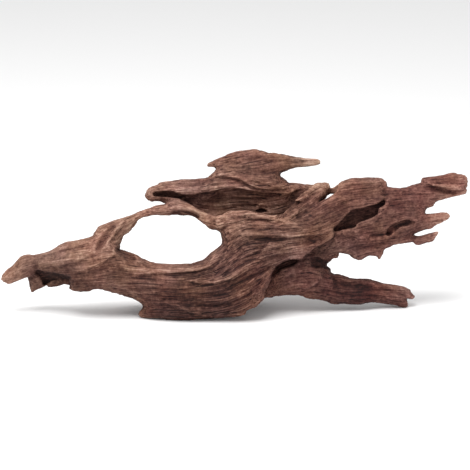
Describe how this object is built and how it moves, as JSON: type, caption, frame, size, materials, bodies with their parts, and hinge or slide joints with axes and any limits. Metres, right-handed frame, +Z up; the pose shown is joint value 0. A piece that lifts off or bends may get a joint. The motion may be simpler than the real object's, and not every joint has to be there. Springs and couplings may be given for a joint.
{
  "type": "piece of driftwood",
  "caption": "Long weathered driftwood with an arch over a large see-through hole, a furrowed body, a fin behind it, a torn arm and a forked limb.",
  "frame": {"origin": "on the floor that it rests on, under the middle of its box", "axes": "+X along the wood from the beak to the end of the right arm, +Y away from the viewer, +Z up"},
  "size_m": [0.4683, 0.1077, 0.1571],
  "materials": {
    "weathered_wood": "bare water-worn hardwood, dull, furrowed along the grain"
  },
  "bodies": {
    "root": {"driftwood": "weathered_wood"}
  },
  "joints": []
}
